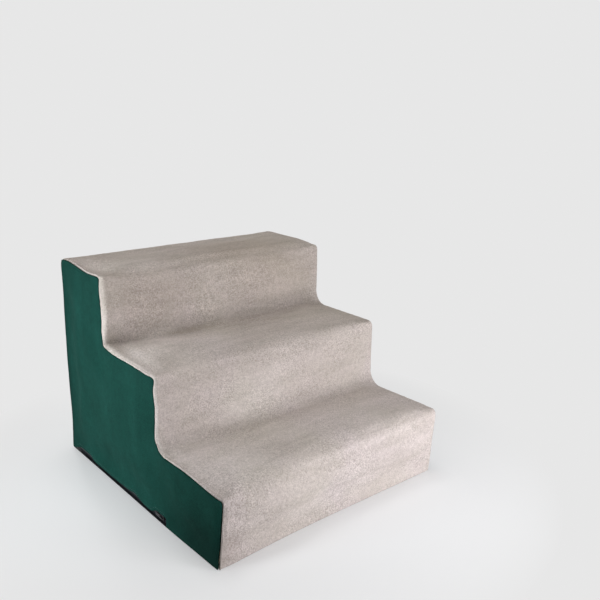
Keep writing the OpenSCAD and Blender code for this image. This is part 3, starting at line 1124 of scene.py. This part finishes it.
pile = pile_group()
weave = weave_group()
finish = {
    "plush": plush_material(pile),
    "velvet": velvet_material(pile),
    "foam": foam_material(pile),
    "base_cloth": woven_material(
        "black_base_cloth", (0.012, 0.013, 0.016), (0.032, 0.034, 0.040), 900.0, weave, pile,
    ),
    "zip_tape": woven_material(
        "black_zip_tape", (0.007, 0.008, 0.011), (0.022, 0.024, 0.030), 2200.0, weave, pile,
    ),
    "zip_teeth": moulded_material("black_zip_plastic", 0.32, 0.60, pile),
    "zip_metal": painted_metal_material(pile),
}

form, filling = cover_form()
steps_cover = panel(form, PLUSH, "steps_cover", plush_thick)
nap(steps_cover, height=0.3 * MM, size=7 * MM)
left_velvet = panel(form, LEFT, "left_velvet_side", velvet_thick)
right_velvet = panel(form, RIGHT, "right_velvet_side", velvet_thick)
back_velvet = panel(form, BACK, "back_velvet", velvet_thick)
base_cloth = panel(form, BASE, "base_cloth", base_thick)
form.free()
foam = [foam_block(filling, k, f"foam_block_{k + 1}") for k in range(STEPS)]
filling.free()


def dress(piece, slot, *nodes, material=None):
    """Gives a piece its finish and its place on the stairs, and hides the nodes that it stands for."""
    piece.data.materials.clear()
    piece.data.materials.append(material or finish[slot])
    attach(piece, "stairs")
    if nodes:
        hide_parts(*nodes)


dress(steps_cover, "plush", "steps_panel")
dress(left_velvet, "velvet", "left_side_panel")
dress(right_velvet, "velvet", "right_side_panel")
dress(back_velvet, "velvet", "back_panel")
dress(base_cloth, "base_cloth", "base_panel")
dress(grip_dots(), "base_cloth", material=moulded_material("black_grip_rubber", 0.45, 0.75, pile))
dress(zip_end_tab(), "zip_tape")
stitches = hem_stitches((left_velvet, right_velvet, back_velvet))
dress(stitches, "velvet", material=thread_material(pile))
for piece, node in zip(foam, ("core_block_lower", "core_block_middle", "core_block_upper")):
    dress(piece, "foam", node)

for slot, names in (
    ("zip_tape", ("zip_tape_upper", "zip_tape_lower")),
    ("zip_teeth", ("zip_teeth_upper", "zip_teeth_lower", "zip_top_stops", "zip_bottom_stop")),
    ("zip_metal", ("zip_slider", "zip_pull")),
):
    for name in names:
        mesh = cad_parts[name].data
        mesh.materials.clear()
        mesh.materials.append(finish[slot])


# ------------ camera

camera_azimuth = math.radians(-40.13)
camera_elevation = math.radians(15.85)
camera_roll = math.radians(0.98)
camera_distance = 1.1168
camera_shift_right = 0.0800
camera_shift_up = 0.1047
camera_aim = Vector((0, 0, 0.15))
camera_sensor, camera_lens = 36, 44.40

cam_back = Vector((
    math.sin(camera_azimuth) * math.cos(camera_elevation),
    -math.cos(camera_azimuth) * math.cos(camera_elevation),
    math.sin(camera_elevation),
))
level_right = Vector((0, 0, 1)).cross(cam_back).normalized()
level_up = cam_back.cross(level_right)
cam_right = level_right * math.cos(camera_roll) + level_up * math.sin(camera_roll)
cam_up = cam_back.cross(cam_right)

camera = bpy.data.objects.new("camera", bpy.data.cameras.new("camera"))
camera.data.sensor_width = camera_sensor
camera.data.lens = camera_lens
turn = Matrix((cam_right, cam_up, cam_back)).transposed().to_4x4()
place = camera_aim + cam_back * camera_distance + cam_right * camera_shift_right + cam_up * camera_shift_up
camera.matrix_world = Matrix.Translation(place) @ turn
bpy.context.scene.collection.objects.link(camera)
bpy.context.scene.camera = camera


# ------------ studio

def area_lamp(name, position, target, size, power, colour=(1, 1, 1), spread_angle=180):
    lamp = bpy.data.objects.new(name, bpy.data.lights.new(name, "AREA"))
    lamp.data.shape = "DISK"
    lamp.data.size = size
    lamp.data.energy = power
    lamp.data.color = colour
    lamp.data.spread = math.radians(spread_angle)
    lamp.location = position
    lamp.visible_camera = False
    lamp.rotation_mode = "QUATERNION"
    lamp.rotation_quaternion = (Vector(target) - Vector(position)).to_track_quat("-Z", "Y")
    bpy.context.scene.collection.objects.link(lamp)


def seen_directly(nodes):
    """1 for the rays that show the backdrop itself: straight, mirrored or through something clear."""
    path = nodes.add("ShaderNodeLightPath").outputs
    either = nodes.math("MAXIMUM", path["Is Camera Ray"], path["Is Glossy Ray"])
    return nodes.math("MAXIMUM", either, path["Is Transmission Ray"])


def studio_world(tone):
    """A plain backdrop, and a dimmer light from all round."""
    world = bpy.data.worlds.new("studio")
    bpy.context.scene.world = world
    nodes = cleared_nodes(world)
    ambient = nodes.add("ShaderNodeBackground", {"Color": (1, 1, 1, 1), "Strength": 0.36}).outputs[0]
    seen = nodes.add("ShaderNodeBackground", {"Color": (*grey(tone), 1), "Strength": 1.0}).outputs[0]
    mixed = nodes.add("ShaderNodeMixShader", {0: seen_directly(nodes), 1: ambient, 2: seen})
    nodes.add("ShaderNodeOutputWorld", {"Surface": mixed.outputs[0]})


def studio_floor(tone):
    """A pale floor that shows shadows near the stairs and blends into the backdrop further out."""
    radius, near_reach, far_reach = 14, 0.25, 0.47
    bm = bmesh.new()
    bmesh.ops.create_circle(bm, cap_ends=True, segments=96, radius=radius)
    floor = new_object("studio_floor", bm, smooth=False)
    material = bpy.data.materials.new("pale_floor")
    nodes = cleared_nodes(material)
    place = nodes.add("ShaderNodeTexCoord").outputs["Object"]
    far = nodes.spread(nodes.vector("LENGTH", place)["Value"], near_reach, far_reach)
    lit = nodes.add("ShaderNodeBsdfDiffuse", {"Color": (*grey(0.65), 1)}).outputs[0]
    glow = nodes.add("ShaderNodeEmission", {"Color": (1, 1, 1, 1), "Strength": 0.255}).outputs[0]
    near = nodes.add("ShaderNodeAddShader", {0: lit, 1: glow}).outputs[0]
    wide = nodes.add("ShaderNodeEmission", {"Color": (*grey(tone), 1), "Strength": 1.0}).outputs[0]
    seen = nodes.add("ShaderNodeMixShader", {0: far, 1: near, 2: wide}).outputs[0]
    unseen = nodes.add("ShaderNodeBsdfDiffuse", {"Color": (*grey(0.62), 1)}).outputs[0]
    both = nodes.add("ShaderNodeMixShader", {0: seen_directly(nodes), 1: unseen, 2: seen})
    nodes.add("ShaderNodeOutputMaterial", {"Surface": both.outputs[0]})
    floor.data.materials.append(material)


backdrop_tone = 0.80
area_lamp("key", (0.3, -0.8, 0.1), (0, 0, 0.15), 0.35, 6.0, (0.985, 0.995, 1.065))
area_lamp("left_fill", (-0.9, 0.08, 0.25), (-0.2, 0.07, 0.20), 0.3, 0.86, (0.93, 1.0, 1.06), 60)
area_lamp("rear_fill", (0.06, 1.1, 0.10), (0, 0.2, 0.15), 0.16, 1.35, (1, 1, 1), 50)
area_lamp("overhead", (0, 0.3, 2.4), (0, 0, 0.15), 1.0, 14.4)
studio_world(backdrop_tone)
studio_floor(backdrop_tone)
bpy.context.scene.view_settings.view_transform = "Standard"
